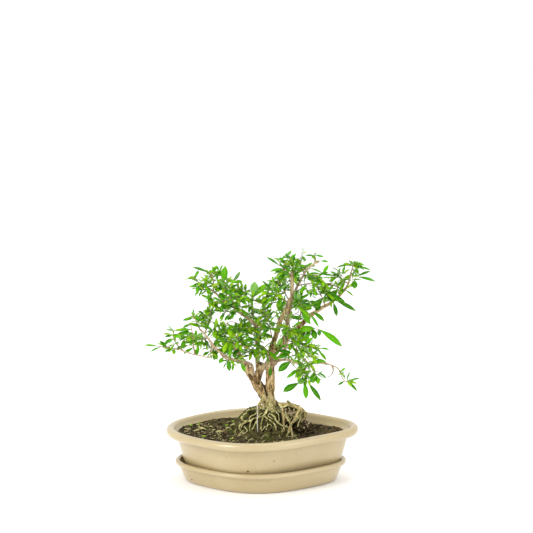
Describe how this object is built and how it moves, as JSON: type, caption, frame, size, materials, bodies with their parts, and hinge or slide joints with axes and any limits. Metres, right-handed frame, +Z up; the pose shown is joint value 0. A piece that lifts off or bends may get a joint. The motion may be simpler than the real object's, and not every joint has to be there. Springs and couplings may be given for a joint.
{
  "type": "bonsai tree",
  "caption": "Small serissa bonsai with forked trunk, exposed roots and sparse leafy sprays, in a cream glazed oval pot on its drip saucer.",
  "frame": {"origin": "centre of the saucer's flat underside", "axes": "+Z up the tree, +X to the right and -Y to the viewer as the tree is seen from its front"},
  "size_m": [0.2365, 0.1528, 0.2446],
  "materials": {
    "glaze": "gloss",
    "soil": "rough",
    "bark": "rough",
    "wire": "satin",
    "mesh": "matte",
    "leaf": "satin"
  },
  "bodies": {
    "root": {"saucer": "glaze", "pot": "glaze", "drain_screen_left": "mesh", "drain_screen_right": "mesh", "soil": "soil", "trunk": "bark", "tie_wire": "wire", "spray_left_outer": "leaf", "spray_left_crook": "leaf", "spray_left_upright": "leaf", "spray_left_end": "leaf", "spray_left_riser": "leaf", "spray_left_inner": "leaf", "spray_left_low": "leaf", "spray_left_hang": "leaf", "spray_crest_tip": "leaf", "spray_crest_top": "leaf", "spray_crest_middle": "leaf", "spray_crest_right": "leaf", "spray_crest_front": "leaf", "spray_crest_under": "leaf", "spray_crest_back": "leaf", "spray_saddle": "leaf", "spray_shelf_end": "leaf", "spray_shelf_top": "leaf", "spray_shelf_front": "leaf", "spray_shelf_low": "leaf", "spray_heart": "leaf", "spray_inner": "leaf", "spray_bole_front": "leaf", "spray_thread": "leaf", "spray_fork_left": "leaf", "spray_fork_peak": "leaf", "spray_top_left": "leaf", "spray_top_middle": "leaf", "spray_top_tip": "leaf", "spray_top_rosette": "leaf", "spray_arch_right": "leaf", "spray_right_inner": "leaf", "spray_right_upper": "leaf", "spray_right_crown": "leaf", "spray_right_tip": "leaf", "spray_right_fan": "leaf", "spray_right_fork": "leaf", "spray_right_middle": "leaf", "spray_droop": "leaf", "spray_low_middle": "leaf", "spray_middle": "leaf", "spray_low_cluster": "leaf", "spray_low_inner": "leaf", "spray_low_fan": "leaf", "spray_low_reach": "leaf", "spray_back_high": "leaf", "spray_back_middle": "leaf", "spray_back_low": "leaf", "spray_back_left": "leaf", "spray_back_saddle": "leaf"}
  },
  "joints": []
}
